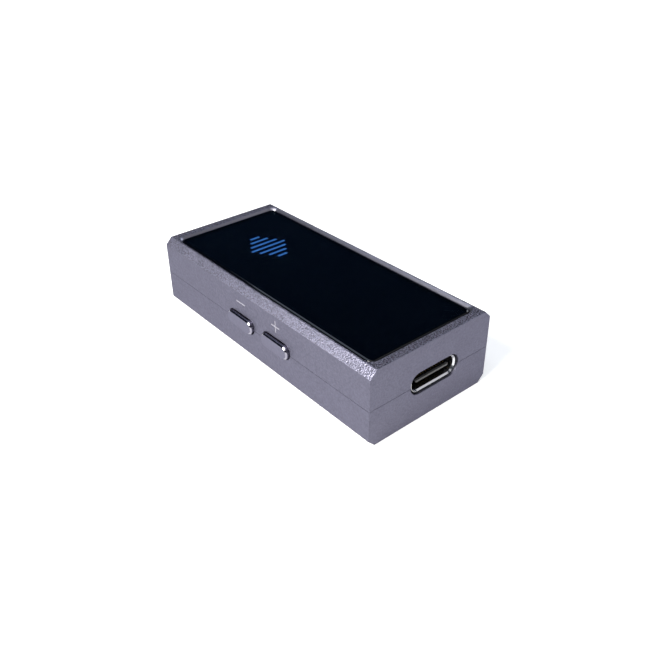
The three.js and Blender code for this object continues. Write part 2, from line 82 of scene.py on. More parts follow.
UPPER_LOW, UPPER_HIGH = box_mm("upper_shell")
END_X, SIDE_Y, TOP = UPPER_HIGH
LIP_TOP = box_mm("lower_shell")[1].z
TOUCH = 0.02  # between two faces that rest on each other
SEAM = UPPER_LOW.z - TOUCH
GAP = 0.05  # between the lip and its recess
RUN = 0.15  # round a piece that slides or stands in a cut-out
OVER = 1.0  # how far a cutting solid runs past what it cuts

CHAMFER = 1.15
EDGE = 0.07  # rounding of the machined edges
END_WALL, SIDE_WALL, FLOOR, LIP_THICK = 1.3, 1.35, 1.2, 0.45
CAVITY_RADIUS = 1.2
ROOF = box_mm("emblem_light_guide")[0].z - TOUCH

GLASS_LOW, GLASS_HIGH = box_mm("window_glass")
GLASS_GAP = 0.12
GLASS_RADIUS = 0.98
GLASS_EDGE = (0.3, 0.15)  # how far the sloping edge reaches in, and how far it drops
MOUTH_BEVEL = 0.4  # polished bevel round the mouth of the recess
PRINT_THICK = 0.015
RECESS_FLOOR = box_mm("window_tape")[0].z - TOUCH
BARS = {"pitch": 1.33, "stroke": 0.5, "radius": 0.1, "heights": (1.9, 3.6, 5.4, 6.9, 5.4, 3.6, 1.9)}
EMBLEM = Vector((middle("emblem_film").x, 0.4))  # its centre
PORT_RADIUS = 1.0

MARK = {"z": 9.7, "depth": 0.06, "stroke": 0.34, "minus": 2.4, "plus": 2.1}
KEYS = ("minus", "plus")
KEY_EDGE = 0.22
FLANGE = {"reach": 0.55, "thick": 0.45}  # keeps a key from falling out of its slot
SOCKET_GAP = {"beside": 0.355, "above": 0.23}  # between the USB-C shell and its cut-out
SOCKET_RADIUS = 1.75  # of the cut-out's corners
JACKS = {"jack_4_4": 2.25, "jack_3_5": 1.8}  # bore radius
JACK_HOLE_GAP = 0.075
CASE_SCREWS = tuple(f"case_screw_{i}" for i in (1, 2, 3, 4))
BOARD_SCREWS = tuple(f"board_screw_{i}" for i in (1, 2, 3))
BOSS_RADIUS, POST_RADIUS = 1.6, 1.4
CASE_THREAD = {"radius": 0.67, "end": 9.2}  # blind holes up into the bosses of the upper shell
BOARD_THREAD = {"radius": 0.52, "start": 1.5}  # blind holes down into the posts of the lower shell


# ---------------------------------------------------------------- mesh building, in millimetres
def rounded(width, height, radius, grow=0.0, steps=ARC):
    """The outline of a rectangle with round corners, grown or shrunk on every side."""
    reach = max(radius + grow, 1e-3)
    points = []
    for corner, (sx, sy) in enumerate(((1, 1), (-1, 1), (-1, -1), (1, -1))):
        cx, cy = sx * (width / 2 - radius), sy * (height / 2 - radius)
        for i in range(steps + 1):
            angle = (corner + i / steps) * math.pi / 2
            points.append((cx + reach * math.cos(angle), cy + reach * math.sin(angle)))
    return points


def circle(radius, steps=ARC):
    """The outline of a circle."""
    turns = [2 * math.pi * i / (4 * steps) for i in range(4 * steps)]
    return [(radius * math.cos(turn), radius * math.sin(turn)) for turn in turns]


def on_axis(u, v, along, axis):
    """A point of an outline pushed along x, y or z."""
    return {"x": (along, u, v), "y": (-u, along, v), "z": (u, v, along)}[axis]


def new_object(name, mesh):
    """Puts a mesh into the scene as an object."""
    obj = bpy.data.objects.new(name, mesh)
    bpy.context.scene.collection.objects.link(obj)
    return obj


def loft(name, rings, axis="z", at=(0, 0, 0), closed=False):
    """A body through rings of equal length, each (outline, place along the axis). Its ends are filled,
    or, when closed, the last ring joins the first."""
    bm = bmesh.new()
    loops = []
    for outline, along in rings:
        points = [Vector(on_axis(u, v, along, axis)) + Vector(at) for u, v in outline]
        loops.append([bm.verts.new(point) for point in points])
    count = len(loops[0])
    pairs = list(zip(loops, loops[1:] + ([loops[0]] if closed else [])))
    for low, high in pairs:
        for i in range(count):
            j = (i + 1) % count
            bm.faces.new((low[i], low[j], high[j], high[i]))
    if not closed:
        bm.faces.new(list(reversed(loops[0])))
        bm.faces.new(loops[-1])
    bmesh.ops.remove_doubles(bm, verts=bm.verts, dist=1e-5)
    bmesh.ops.recalc_face_normals(bm, faces=bm.faces)
    mesh = bpy.data.meshes.new(name)
    bm.to_mesh(mesh)
    bm.free()
    return new_object(name, mesh)


def prism(name, outline, low, high, axis="z", at=(0, 0, 0)):
    """A straight body between two places along an axis."""
    return loft(name, [(outline, low), (outline, high)], axis, at)


def block(name, low, high):
    """A box between two corners."""
    (x0, y0, z0), (x1, y1, z1) = low, high
    return prism(name, [(x0, y0), (x1, y0), (x1, y1), (x0, y1)], z0, z1)


def settle(obj):
    """Makes an object's modifiers part of its mesh."""
    graph = bpy.context.evaluated_depsgraph_get()
    mesh = bpy.data.meshes.new_from_object(obj.evaluated_get(graph))
    obj.modifiers.clear()
    obj.data = mesh
    return obj


def combine(target, tools, operation="DIFFERENCE"):
    """Cuts the tools out of the target, or joins them to it, and removes them."""
    for tool in tools:
        modifier = target.modifiers.new(tool.name, "BOOLEAN")
        modifier.operation = operation
        modifier.solver = "EXACT"
        modifier.object = tool
    settle(target)
    for tool in tools:
        bpy.data.objects.remove(tool)
    return target


def round_edges(obj, width, segments=2, angle=35, fine=None):
    """Rounds every edge that turns by more than the angle. Edges for which fine(start, end) is true get
    a third of the width."""
    weights = obj.data.attributes.new("bevel_weight_edge", "FLOAT", "EDGE")
    bm = bmesh.new()
    bm.from_mesh(obj.data)
    for edge in bm.edges:
        turn = edge.calc_face_angle(0) if len(edge.link_faces) == 2 else 0
        is_fine = fine is not None and fine(edge.verts[0].co, edge.verts[1].co)
        weights.data[edge.index].value = (0.33 if is_fine else 1) if turn > math.radians(angle) else 0
    bm.free()
    modifier = obj.modifiers.new("edges", "BEVEL")
    modifier.width = width
    modifier.segments = segments
    modifier.limit_method = "WEIGHT"
    modifier.use_clamp_overlap = False
    modifier.miter_outer = "MITER_ARC"
    return settle(obj)


def paint(obj, material, choose=None):
    """Adds a material and gives it to the faces that choose(centre, normal) picks, or to all."""
    obj.data.materials.append(material)
    index = len(obj.data.materials) - 1
    for face in obj.data.polygons:
        if choose is None or choose(face.center, face.normal):
            face.material_index = index
    return obj


def place(obj, body=CASE, replaces=(), smooth=35):
    """Turns a finished piece into metres, smooths its shading and puts it on its body. The shading
    normals are weighted by face size, so that flat faces stay flat right up to their rounded edges."""
    obj.data.transform(Matrix.Scale(MM, 4))
    obj.data.shade_smooth()
    obj.data.set_sharp_from_angle(angle=math.radians(smooth))
    weighted = obj.modifiers.new("weighted", "WEIGHTED_NORMAL")
    weighted.keep_sharp = True
    settle(obj)
    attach(obj, body)
    if replaces:
        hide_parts(*replaces)
    return obj


# ---------------------------------------------------------------- materials
def new_material(name):
    """A node material, with its node tree and its surface shader."""
    material = bpy.data.materials.new(name)
    material.use_nodes = True
    tree = material.node_tree
    shader = tree.nodes["Principled BSDF"]
    return material, tree, shader


def node(tree, kind, values=None, **settings):
    """A shader node with some of its settings and unlinked inputs filled in."""
    made = tree.nodes.new(kind)
    for key, value in settings.items():
        setattr(made, key, value)
    for key, value in (values or {}).items():
        made.inputs[key].default_value = value
    return made


def millimetres(tree, stretch=(1, 1, 1)):
    """Object coordinates in millimetres, so that a texture's scale is in features per millimetre."""
    coordinates = node(tree, "ShaderNodeTexCoord")
    mapping = node(tree, "ShaderNodeMapping", {"Scale": [s / MM for s in stretch]})
    tree.links.new(coordinates.outputs["Object"], mapping.inputs["Vector"])
    return mapping.outputs["Vector"]


def noise(tree, vector, scale, detail=2.0, roughness=0.5):
    """The value of a noise texture."""
    made = node(tree, "ShaderNodeTexNoise", {"Scale": scale, "Detail": detail, "Roughness": roughness})
    tree.links.new(vector, made.inputs["Vector"])
    return made.outputs["Fac"]


def ramp(tree, value, stops):
    """A colour ramp of (position, colour) stops; a colour may be one grey number."""
    made = node(tree, "ShaderNodeValToRGB")
    elements = made.color_ramp.elements
    while len(elements) < len(stops):
        elements.new(0.5)
    for element, (position, colour) in zip(elements, stops):
        element.position = position
        rgb = (colour,) * 3 if isinstance(colour, (int, float)) else colour
        element.color = (*rgb, 1)
    tree.links.new(value, made.inputs["Fac"])
    return made.outputs["Color"]


def bump(tree, shader, heights):
    """Stacks bumps on a shader, each (height socket, strength, depth in millimetres)."""
    normal = None
    for height, strength, depth in heights:
        made = node(tree, "ShaderNodeBump", {"Strength": strength, "Distance": depth * MM})
        tree.links.new(height, made.inputs["Height"])
        if normal:
            tree.links.new(normal, made.inputs["Normal"])
        normal = made.outputs["Normal"]
    tree.links.new(normal, shader.inputs["Normal"])


def shade(colour, factor):
    """A colour made darker or lighter."""
    return tuple(min(1.0, c * factor) for c in colour)


def blasted_metal(name, colour, roughness, grain=2.9, depth=0.05, contrast=0.06, spread=0.2):
    """Bead-blasted, anodised aluminium: shallow dimples, a fine frost over them, and a faint mottle."""
    material, tree, shader = new_material(name)
    vector = millimetres(tree)
    dimples = noise(tree, vector, grain, 1, 0.4)
    frost = noise(tree, vector, grain * 6, 1, 0.5)
    tone = noise(tree, vector, grain, 2, 0.7)
    dark, light = shade(colour, 1 - contrast), shade(colour, 1 + contrast)
    stops = [(0.5 - spread, dark), (0.5, colour), (0.5 + spread, light)]
    tree.links.new(ramp(tree, tone, stops), shader.inputs["Base Color"])
    patches = noise(tree, vector, 0.35, 3)
    gloss = ramp(tree, patches, [(0.3, roughness - 0.03), (0.7, roughness + 0.03)])
    tree.links.new(gloss, shader.inputs["Roughness"])
    shader.inputs["Metallic"].default_value = 1.0
    shader.inputs["Specular Tint"].default_value = (0.5, 0.5, 0.52, 1)
    bump(tree, shader, [(dimples, 1.0, depth), (frost, 1.0, depth / 16)])
    return material


def polished_metal(name, colour, roughness, line_scale=(1, 1, 1)):
    """Machined or plated metal with faint tool lines."""
    material, tree, shader = new_material(name)
    scale, depth = 9.0, 0.002
    vector = millimetres(tree, line_scale)
    lines = noise(tree, vector, scale, 3, 0.6)
    stops = [(0.25, shade(colour, 0.88)), (0.75, colour)]
    tree.links.new(ramp(tree, lines, stops), shader.inputs["Base Color"])
    gloss = ramp(tree, lines, [(0.3, roughness * 0.8), (0.7, roughness * 1.25)])
    tree.links.new(gloss, shader.inputs["Roughness"])
    shader.inputs["Metallic"].default_value = 1.0
    bump(tree, shader, [(lines, 0.4, depth)])
    return material


def moulded(name, colour, roughness, grain=12.0, depth=0.004):
    """Moulded plastic, epoxy or rubber with a fine even texture."""
    material, tree, shader = new_material(name)
    vector = millimetres(tree)
    fine = noise(tree, vector, grain, 2, 0.6)
    tone = ramp(tree, fine, [(0.3, shade(colour, 0.8)), (0.7, shade(colour, 1.25))])
    tree.links.new(tone, shader.inputs["Base Color"])
    gloss = ramp(tree, noise(tree, vector, 2.5), [(0.3, roughness * 0.95), (0.7, roughness * 1.05)])
    tree.links.new(gloss, shader.inputs["Roughness"])
    bump(tree, shader, [(fine, 0.4, depth)])
    return material


def clear_glass(name):
    """Slightly blue glass with a trace of smearing."""
    material, tree, shader = new_material(name)
    vector = millimetres(tree)
    smear = noise(tree, vector, 0.12, 2)
    tint = ramp(tree, smear, [(0.3, (0.92, 0.95, 1.0)), (0.7, (0.96, 0.98, 1.0))])
    tree.links.new(tint, shader.inputs["Base Color"])
    tree.links.new(ramp(tree, smear, [(0.35, 0.03), (0.75, 0.06)]), shader.inputs["Roughness"])
    shader.inputs["IOR"].default_value = 1.5
    shader.inputs["Transmission Weight"].default_value = 1.0
    return material


def ink_with_painted_glow(name, colour, strength):
    """Milky ink with a painted glow, slightly uneven, that stands in for the light of the lamps below
    it.
    """
    material, tree, shader = new_material(name)
    vector = millimetres(tree)
    glow = ramp(tree, noise(tree, vector, 0.3, 2), [(0.3, shade(colour, 0.85)), (0.7, colour)])
    tree.links.new(glow, shader.inputs["Emission Color"])
    tree.links.new(glow, shader.inputs["Base Color"])
    shader.inputs["Emission Strength"].default_value = strength
    shader.inputs["Roughness"].default_value = 0.6
    return material


ANODISED = (0.16, 0.157, 0.212)
SHELL = blasted_metal("bead_blasted_shell", shade(ANODISED, 0.88), 0.52, depth=0.07, contrast=0.12)
# painted highlight: the chamfer's anodised colour is made lighter than the shell's own
SHELL_TOP_PAINTED_HIGHLIGHT = blasted_metal(
    "bead_blasted_top_painted_highlight", shade(ANODISED, 1.31), 0.45, grain=5.0, depth=0.075, contrast=0.5
)
# painted light: the flat rim gets its own lighter copy of the anodised colour, with strong light
# speckles as painted glints
SHELL_RIM_PAINTED_LIGHT = blasted_metal(
    "bead_blasted_rim_painted_light", shade(ANODISED, 0.92), 0.5, grain=4.6, depth=0.5, contrast=1.0, spread=0.12
)
KEY_FACE = blasted_metal("bead_blasted_key", ANODISED, 0.52)
KEY_POLISH = polished_metal("polished_key_edge", (0.28, 0.27, 0.33), 0.14)
MOUTH_POLISH = polished_metal(
    "machined_recess_bevel", (0.27, 0.265, 0.32), 0.34, line_scale=(0.2, 1, 1)
)
MARK_INK = moulded("mark_ink", (0.21, 0.206, 0.255), 0.6)
GLASS = clear_glass("window_glass_clear")
BLACK = (0.0006, 0.0008, 0.0014)
GLASS_BORDER = moulded("window_glass_border", BLACK, 0.04, grain=3.0, depth=0.0)
PRINT = moulded("black_print", BLACK, 0.8)
PRINT.node_tree.nodes["Principled BSDF"].inputs["Specular IOR Level"].default_value = 0.0
# painted glow: the emblem ink emits light itself, in place of the lamps under the light guide
INK_PAINTED_GLOW = ink_with_painted_glow("blue_ink_painted_glow", (0.019, 0.115, 0.37), 0.9)
STEEL = polished_metal("socket_steel", (0.36, 0.36, 0.39), 0.28)
# painted highlight: a lighter copy of the socket steel for the flare
STEEL_PAINTED_HIGHLIGHT = polished_metal("socket_steel_painted_highlight", (0.6, 0.6, 0.64), 0.2)
SCREW_STEEL = polished_metal("screw_steel", (0.16, 0.16, 0.18), 0.3)
GOLD = polished_metal("gold_plate", (0.83, 0.52, 0.16), 0.22)
BLACK_PLASTIC = moulded("black_plastic", (0.012, 0.012, 0.013), 0.5)
TONGUE_PLASTIC = moulded("tongue_plastic", (0.006, 0.006, 0.007), 0.2)
WHITE_PLASTIC = moulded("white_plastic", (0.7, 0.73, 0.78), 0.45)
AMBER = moulded("amber_film", (0.32, 0.13, 0.015), 0.3)
BOARD = moulded("green_board", (0.006, 0.055, 0.028), 0.35)
CHIP = moulded("chip_epoxy", (0.015, 0.015, 0.017), 0.55)
TAPE = moulded("foam_tape", (0.02, 0.02, 0.022), 0.85)
TANTALUM = moulded("tantalum_epoxy", (0.5, 0.26, 0.03), 0.4)
TANTALUM_BAND = moulded("tantalum_band", (0.09, 0.03, 0.01), 0.4)
TIN = polished_metal("tin_plate", (0.58, 0.58, 0.56), 0.35)
CERAMIC = moulded("capacitor_ceramic", (0.24, 0.16, 0.1), 0.5)
PHOSPHOR = moulded("lamp_phosphor", (0.75, 0.58, 0.1), 0.6)


# ---------------------------------------------------------------- shapes both shells share
def cavity(grow, low, high):
    """The hollow of the case between two heights, grown outwards for the lip."""
    width, depth = 2 * (END_X - END_WALL), 2 * (SIDE_Y - SIDE_WALL)
    return prism("cavity", rounded(width, depth, CAVITY_RADIUS, grow), low, high)


def outer_block(name, low, high):
    """The bevelled block of the case, between two heights."""
    y, c = SIDE_Y, CHAMFER
    right = [(y - c, 0), (y, c), (y, TOP - c), (y - c, TOP)]
    left = [(-across, up) for across, up in reversed(right)]
    profile = right + left
    whole = prism(name, profile, -END_X, END_X, "x")
    reach = (END_X + OVER, SIDE_Y + OVER)
    keep = block("keep", (-reach[0], -reach[1], low), (reach[0], reach[1], high))
    return combine(whole, [keep], "INTERSECT")


def key_outline(key, grow):
    """The stadium outline of a key's face, inside its flange."""
    low, high = box_mm(f"{key}_button")
    width, height = high.x - low.x - 2 * FLANGE["reach"], high.z - low.z - 2 * FLANGE["reach"]
    return rounded(width, height, height / 2 - 1e-3, grow)


def wall_openings():
    """Cutters for the socket, the jack collars and the buttons."""
    low, high = box_mm("usb_shell")
    width = high.y - low.y + 2 * SOCKET_GAP["beside"]
    height = high.z - low.z + 2 * SOCKET_GAP["above"]
    outline = rounded(width, height, SOCKET_RADIUS)
    centre = middle("usb_shell")
    at = (0, centre.y, centre.z)
    cutters = [prism("socket", outline, END_X - END_WALL - OVER, END_X + OVER, "x", at)]
    for jack in JACKS:
        centre = middle(f"{jack}_collar")
        radius = box_mm(f"{jack}_collar")[1].y - centre.y + JACK_HOLE_GAP
        at = (0, centre.y, centre.z)
        cutters.append(prism(jack, circle(radius), -END_X - OVER, -END_X + END_WALL + OVER, "x", at))
    for name in KEYS:
        centre = middle(f"{name}_button")
        outline = key_outline(name, RUN)
        at = (centre.x, 0, centre.z)
        cutters.append(prism(name, outline, -SIDE_Y - OVER, -SIDE_Y + SIDE_WALL + OVER, "y", at))
    return cutters


def fine_edge(start, end):
    """The edges along the seam and round the button slots are kept crisp."""
    ends = (start, end)
    on_seam = all(abs(point.z - SEAM) < 2 * TOUCH for point in ends)
    on_side = all(point.y < -SIDE_Y + EDGE and abs(point.x) < END_X - EDGE for point in ends)
    on_slot = on_side and all(CHAMFER < point.z < TOP - CHAMFER for point in ends)
    return on_seam or on_slot


def glass_outline(grow=0.0):
    """The outline of the glass, grown or shrunk on every side."""
    return rounded(GLASS_HIGH.x - GLASS_LOW.x, GLASS_HIGH.y - GLASS_LOW.y, GLASS_RADIUS, grow)


def recess_cutter():
    """The recess that the glass lies in, with a bevelled mouth."""
    walls = glass_outline(GLASS_GAP)
    mouth = glass_outline(GLASS_GAP + MOUTH_BEVEL)
    return loft(
        "recess",
        [(walls, RECESS_FLOOR), (walls, TOP - MOUTH_BEVEL), (mouth, TOP), (mouth, TOP + OVER)],
    )


# ---------------------------------------------------------------- upper shell
def on_mouth(point):
    """Whether a point lies on the bevel round the mouth of the recess."""
    reach = GLASS_GAP + MOUTH_BEVEL + EDGE
    inside = abs(point.x) < GLASS_HIGH.x + reach and abs(point.y) < GLASS_HIGH.y + reach
    return inside and TOP - MOUTH_BEVEL < point.z < TOP - EDGE / 2


def mark_cutters():
    """The strokes of the minus and plus signs, sunk into the button side."""
    z = MARK["z"]
    outer, inner = -SIDE_Y - OVER, -SIDE_Y + MARK["depth"]

    def bar(x, length, height):
        low = (x - length / 2, outer, z - height / 2)
        high = (x + length / 2, inner, z + height / 2)
        return block("mark", low, high)

    minus, plus = middle("minus_button").x, middle("plus_button").x
    return [
        bar(minus, MARK["minus"], MARK["stroke"]),
        bar(plus, MARK["plus"], MARK["stroke"]),
        bar(plus, MARK["stroke"], MARK["plus"]),
    ]


def upper_shell():
    """The upper half of the case: cavity, glass recess, light port, bosses, openings and marks."""
    shell = outer_block("upper_case", SEAM + TOUCH, TOP + OVER)
    port_low, port_high = box_mm("emblem_light_guide")
    port = rounded(port_high.x - port_low.x + RUN, port_high.y - port_low.y + RUN, PORT_RADIUS)
    port_at = (middle("emblem_light_guide").x, 0, 0)
    combine(
        shell,
        [
            cavity(0, 0, ROOF),
            cavity(LIP_THICK + GAP, 0, LIP_TOP + GAP),
            recess_cutter(),
            prism("port", port, ROOF - OVER, RECESS_FLOOR + OVER, at=port_at),
        ],
    )
    bosses, holes = [], []
    for at in [foot_point(name) for name in CASE_SCREWS]:
        bosses.append(prism("boss", circle(BOSS_RADIUS), SEAM + TOUCH, ROOF + TOUCH, at=at))
        holes.append(prism("thread", circle(CASE_THREAD["radius"]), 0, CASE_THREAD["end"], at=at))
    combine(shell, bosses, "UNION")
    combine(shell, holes + wall_openings())
    round_edges(shell, EDGE, fine=fine_edge)
    combine(shell, mark_cutters())
    paint(shell, SHELL)
    # painted highlight: the chamfer and other upward faces near the top take the lighter copy of the
    # anodised colour
    paint(shell, SHELL_TOP_PAINTED_HIGHLIGHT, lambda at, normal: at.z > TOP - CHAMFER and normal.z > 0.5)
    # painted light: the flat top rim takes its lighter, speckled copy of the anodised colour
    paint(shell, SHELL_RIM_PAINTED_LIGHT, lambda at, normal: at.z > TOP - EDGE and normal.z > 0.95)
    paint(shell, MOUTH_POLISH, lambda at, normal: on_mouth(at))
    ink_y, ink_low = -SIDE_Y + MARK["depth"], MARK["z"] - MARK["plus"]
    paint(shell, MARK_INK, lambda at, normal: abs(at.y - ink_y) < EDGE / 7 and at.z > ink_low)
    return place(shell, replaces=["upper_shell"])


upper_shell()


# ---------------------------------------------------------------- lower shell
def screw_hole(at):
    """A countersunk hole that opens downwards."""
    mouth, bore, rim = 1.42, 0.85, 0.12
    rings = [(mouth, -OVER), (mouth, rim), (bore, rim + mouth - bore), (bore, TOP)]
    return loft("screw_hole", [(circle(radius), height) for radius, height in rings], at=at)


def lower_shell():
    """The lower half of the case: cavity, lip, screw bosses, posts for the board, and openings."""
    shell = outer_block("lower_case", -OVER, SEAM - TOUCH)
    lip = cavity(LIP_THICK, SEAM - OVER, LIP_TOP)
    combine(shell, [lip], "UNION")
    places = [foot_point(name) for name in CASE_SCREWS]
    notches = [prism("notch", circle(BOSS_RADIUS + RUN), SEAM - TOUCH, TOP, at=at) for at in places]
    combine(shell, [cavity(0, FLOOR, TOP), *notches])
    bosses = [prism("boss", circle(BOSS_RADIUS), FLOOR - TOUCH, SEAM - TOUCH, at=at) for at in places]
    board_low = box_mm("circuit_board")[0].z
    posts, post_holes = [], []
    thread = circle(BOARD_THREAD["radius"])
    for at in [foot_point(name) for name in BOARD_SCREWS]:
        posts.append(prism("post", circle(POST_RADIUS), FLOOR - TOUCH, board_low - TOUCH, at=at))
        post_holes.append(prism("thread", thread, BOARD_THREAD["start"], TOP, at=at))
    combine(shell, bosses + posts, "UNION")
    combine(shell, [screw_hole(at) for at in places] + post_holes + wall_openings())
    round_edges(shell, EDGE, fine=fine_edge)
    paint(shell, SHELL)
    return place(shell, replaces=["lower_shell"])


lower_shell()


# ---------------------------------------------------------------- glass, print and emblem
def window_glass():
    """Glass with a sloping edge, blacked out behind the slope and down its sides."""
    reach, drop = GLASS_EDGE
    bottom, top = GLASS_LOW.z + 2 * PRINT_THICK, GLASS_HIGH.z
    arris, ring = 0.14, 0.1
    shoulder = top - drop

    def off_shoulder(start, end):
        return min(start.z, end.z) > shoulder + TOUCH / 2 or max(start.z, end.z) < shoulder - TOUCH / 2

    rings = [
        (glass_outline(-ring), bottom),
        (glass_outline(), bottom + ring),
        (glass_outline(), shoulder),
        (glass_outline(-reach), top),
        (glass_outline(-reach - ring), top),
    ]
    glass = loft("glass_top", rings)
    round_edges(glass, arris, segments=5, angle=20, fine=off_shoulder)
    paint(glass, GLASS)
    paint(glass, GLASS_BORDER, lambda at, normal: abs(normal.z) < 0.999)
    return place(glass, replaces=["window_glass"])


def emblem_bars(name, low, high):
    """The level bars of the emblem, as one solid each."""
    centre = (len(BARS["heights"]) - 1) / 2
    bars = []
    for i, height in enumerate(BARS["heights"]):
        x = EMBLEM.x + (i - centre) * BARS["pitch"]
        outline = rounded(BARS["stroke"], height, BARS["radius"])
        bars.append(prism(name, outline, low, high, at=(x, EMBLEM.y, 0)))
    return bars


def window_print():
    """The black print under the glass, open where the emblem shines through, and the ink there, which
    carries a painted glow.
    """
    low, margin = GLASS_LOW.z, 0.06
    sheet = prism("window_print", glass_outline(-margin), low, low + PRINT_THICK)
    combine(sheet, emblem_bars("bar", low - OVER, low + OVER))
    paint(sheet, PRINT)
    place(sheet)
    first, *others = emblem_bars("emblem_ink", low, low + PRINT_THICK)
    combine(first, others, "UNION")
    # painted glow: the emblem ink gets the emitting material
    paint(first, INK_PAINTED_GLOW)
    place(first)


window_glass()
window_print()


# ---------------------------------------------------------------- buttons
def key(name):
    """A stadium-shaped key: frosted face, polished bevel and flank, and a retaining flange behind."""
    low, high = box_mm(f"{name}_button")
    centre = middle(f"{name}_button")
    front, back = low.y, high.y
    face, flank, flange = (key_outline(name, grow) for grow in (-KEY_EDGE, 0, FLANGE["reach"]))
    flange_front = back - FLANGE["thick"]
    rings = [
        (face, front),
        (flank, front + KEY_EDGE),
        (flank, flange_front),
        (flange, flange_front),
        (flange, back),
    ]
    piece = loft(f"{name}_key", rings, "y", (centre.x, 0, centre.z))
    paint(piece, KEY_POLISH)
    paint(piece, KEY_FACE, lambda at, normal: at.y < front + 1e-3)
    round_edges(piece, 0.025, angle=30)
    return place(piece, f"{name}_button", [f"{name}_button"])


for name in KEYS:
    key(name)


# ---------------------------------------------------------------- USB-C socket
def usb_shell():
    """The drawn steel shell: a narrow lip, and inside it a flare that guides the plug, painted lighter
    as a painted highlight.
    """
    low, high = box_mm("usb_shell")
    centre = middle("usb_shell")
    wall, radius = 0.3, 1.45
    lip, flare, flare_depth, edge = 0.06, 0.24, 0.24, 0.02
    size = (high.y - low.y, high.z - low.z, radius)
    profile = [
        (0.0, low.x),
        (0.0, high.x - edge),
        (-edge, high.x),
        (-lip, high.x),
        (-flare, high.x - flare_depth),
        (-wall, high.x - 3 * flare_depth),
        (-wall, low.x),
    ]
    rings = [(rounded(*size, grow), x) for grow, x in profile]
    shell = loft("usb_socket_shell", rings, "x", (0, centre.y, centre.z), closed=True)
    paint(shell, STEEL)
    # painted highlight: the outward-facing faces of the flare get the lighter copy of the steel
    paint(shell, STEEL_PAINTED_HIGHLIGHT, lambda at, normal: at.x > high.x - flare_depth and normal.x > 0.3)
    return place(shell, replaces=["usb_shell"], smooth=20)


def usb_tongue():
    """The tongue, with its contact pads standing a hair proud of both faces."""
    low, high = box_mm("usb_tongue")
    centre = middle("usb_tongue")
    corner, nose, steps = 0.3, 0.27, 5
    size = (high.y - low.y, high.z - low.z, corner)
    rings = [(rounded(*size), low.x)]
    for i in range(steps + 1):
        turn = i / steps * math.pi / 2
        shrink, back = nose * (1 - math.cos(turn)), nose * (1 - math.sin(turn))
        rings.append((rounded(*size, -shrink), high.x - back))
    tongue = loft("usb_tongue_moulding", rings, "x", (0, centre.y, centre.z))
    pads = []
    pitch, width, count, proud = 0.5, 0.25, 12, 0.03
    start, end = high.x - 3.6, high.x - 0.5
    half = (high.z - low.z) / 2
    for face in (centre.z - half, centre.z + half):
        for i in range(count):
            y = centre.y + (i - (count - 1) / 2) * pitch
            corners = (start, y - width / 2, face - proud), (end, y + width / 2, face + proud)
            pads.append(block("pad", *corners))
    combine(tongue, pads, "UNION")
    paint(tongue, TONGUE_PLASTIC)
    paint(tongue, GOLD, lambda at, normal: abs(at.z - centre.z) > half + proud / 6)
    return place(tongue, replaces=["usb_tongue"])


usb_shell()
usb_tongue()


# ---------------------------------------------------------------- headphone jacks
def jack_collar(jack, bore, material):
    """A turned collar with a bevelled mouth."""
    low, high = box_mm(f"{jack}_collar")
    centre = middle(f"{jack}_collar")
    radius = high.y - centre.y
    lead, edge = 0.35, 0.12
    profile = [
        (radius, high.x),
        (radius, low.x + edge),
        (radius - edge, low.x),
        (bore + lead, low.x),
        (bore, low.x + lead),
        (bore, high.x),
    ]
    rings = [(circle(r), x) for r, x in profile]
    collar = loft(f"{jack}_mouth", rings, "x", (0, centre.y, centre.z), closed=True)
    paint(collar, material)
    round_edges(collar, 0.03, angle=30)
    return place(collar, replaces=[f"{jack}_collar"])


jack_collar("jack_4_4", JACKS["jack_4_4"], GOLD)
jack_collar("jack_3_5", JACKS["jack_3_5"], STEEL)


# ---------------------------------------------------------------- helpers for the small pieces
def assembled(name, parts):
    """Several separate solids, painted alike, as one object."""
    mesh = bpy.data.meshes.new(name)
    for material in parts[0].data.materials:
        mesh.materials.append(material)
    bm = bmesh.new()
    for part in parts:
        bm.from_mesh(part.data)
        bpy.data.objects.remove(part)
    bm.to_mesh(mesh)
    bm.free()
    return new_object(name, mesh)


def finished(name, width, material, body=CASE):
    """A CAD piece whose shape is right, with its edges rounded as a moulding or a pressing has them."""
    source = frame["nodes"][name]
    bm = bmesh.new()
    bm.from_mesh(source.data)
    bmesh.ops.transform(bm, matrix=Matrix.Scale(1 / MM, 4), verts=bm.verts)
    bmesh.ops.remove_doubles(bm, verts=bm.verts, dist=1e-4)
    bmesh.ops.dissolve_limit(bm, angle_limit=math.radians(1), verts=bm.verts, edges=bm.edges)
    mesh = bpy.data.meshes.new(name)
    bm.to_mesh(mesh)
    bm.free()
    obj = new_object(f"{name}_finished", mesh)
    round_edges(obj, width, angle=30)
    paint(obj, material)
    return place(obj, body, [name])


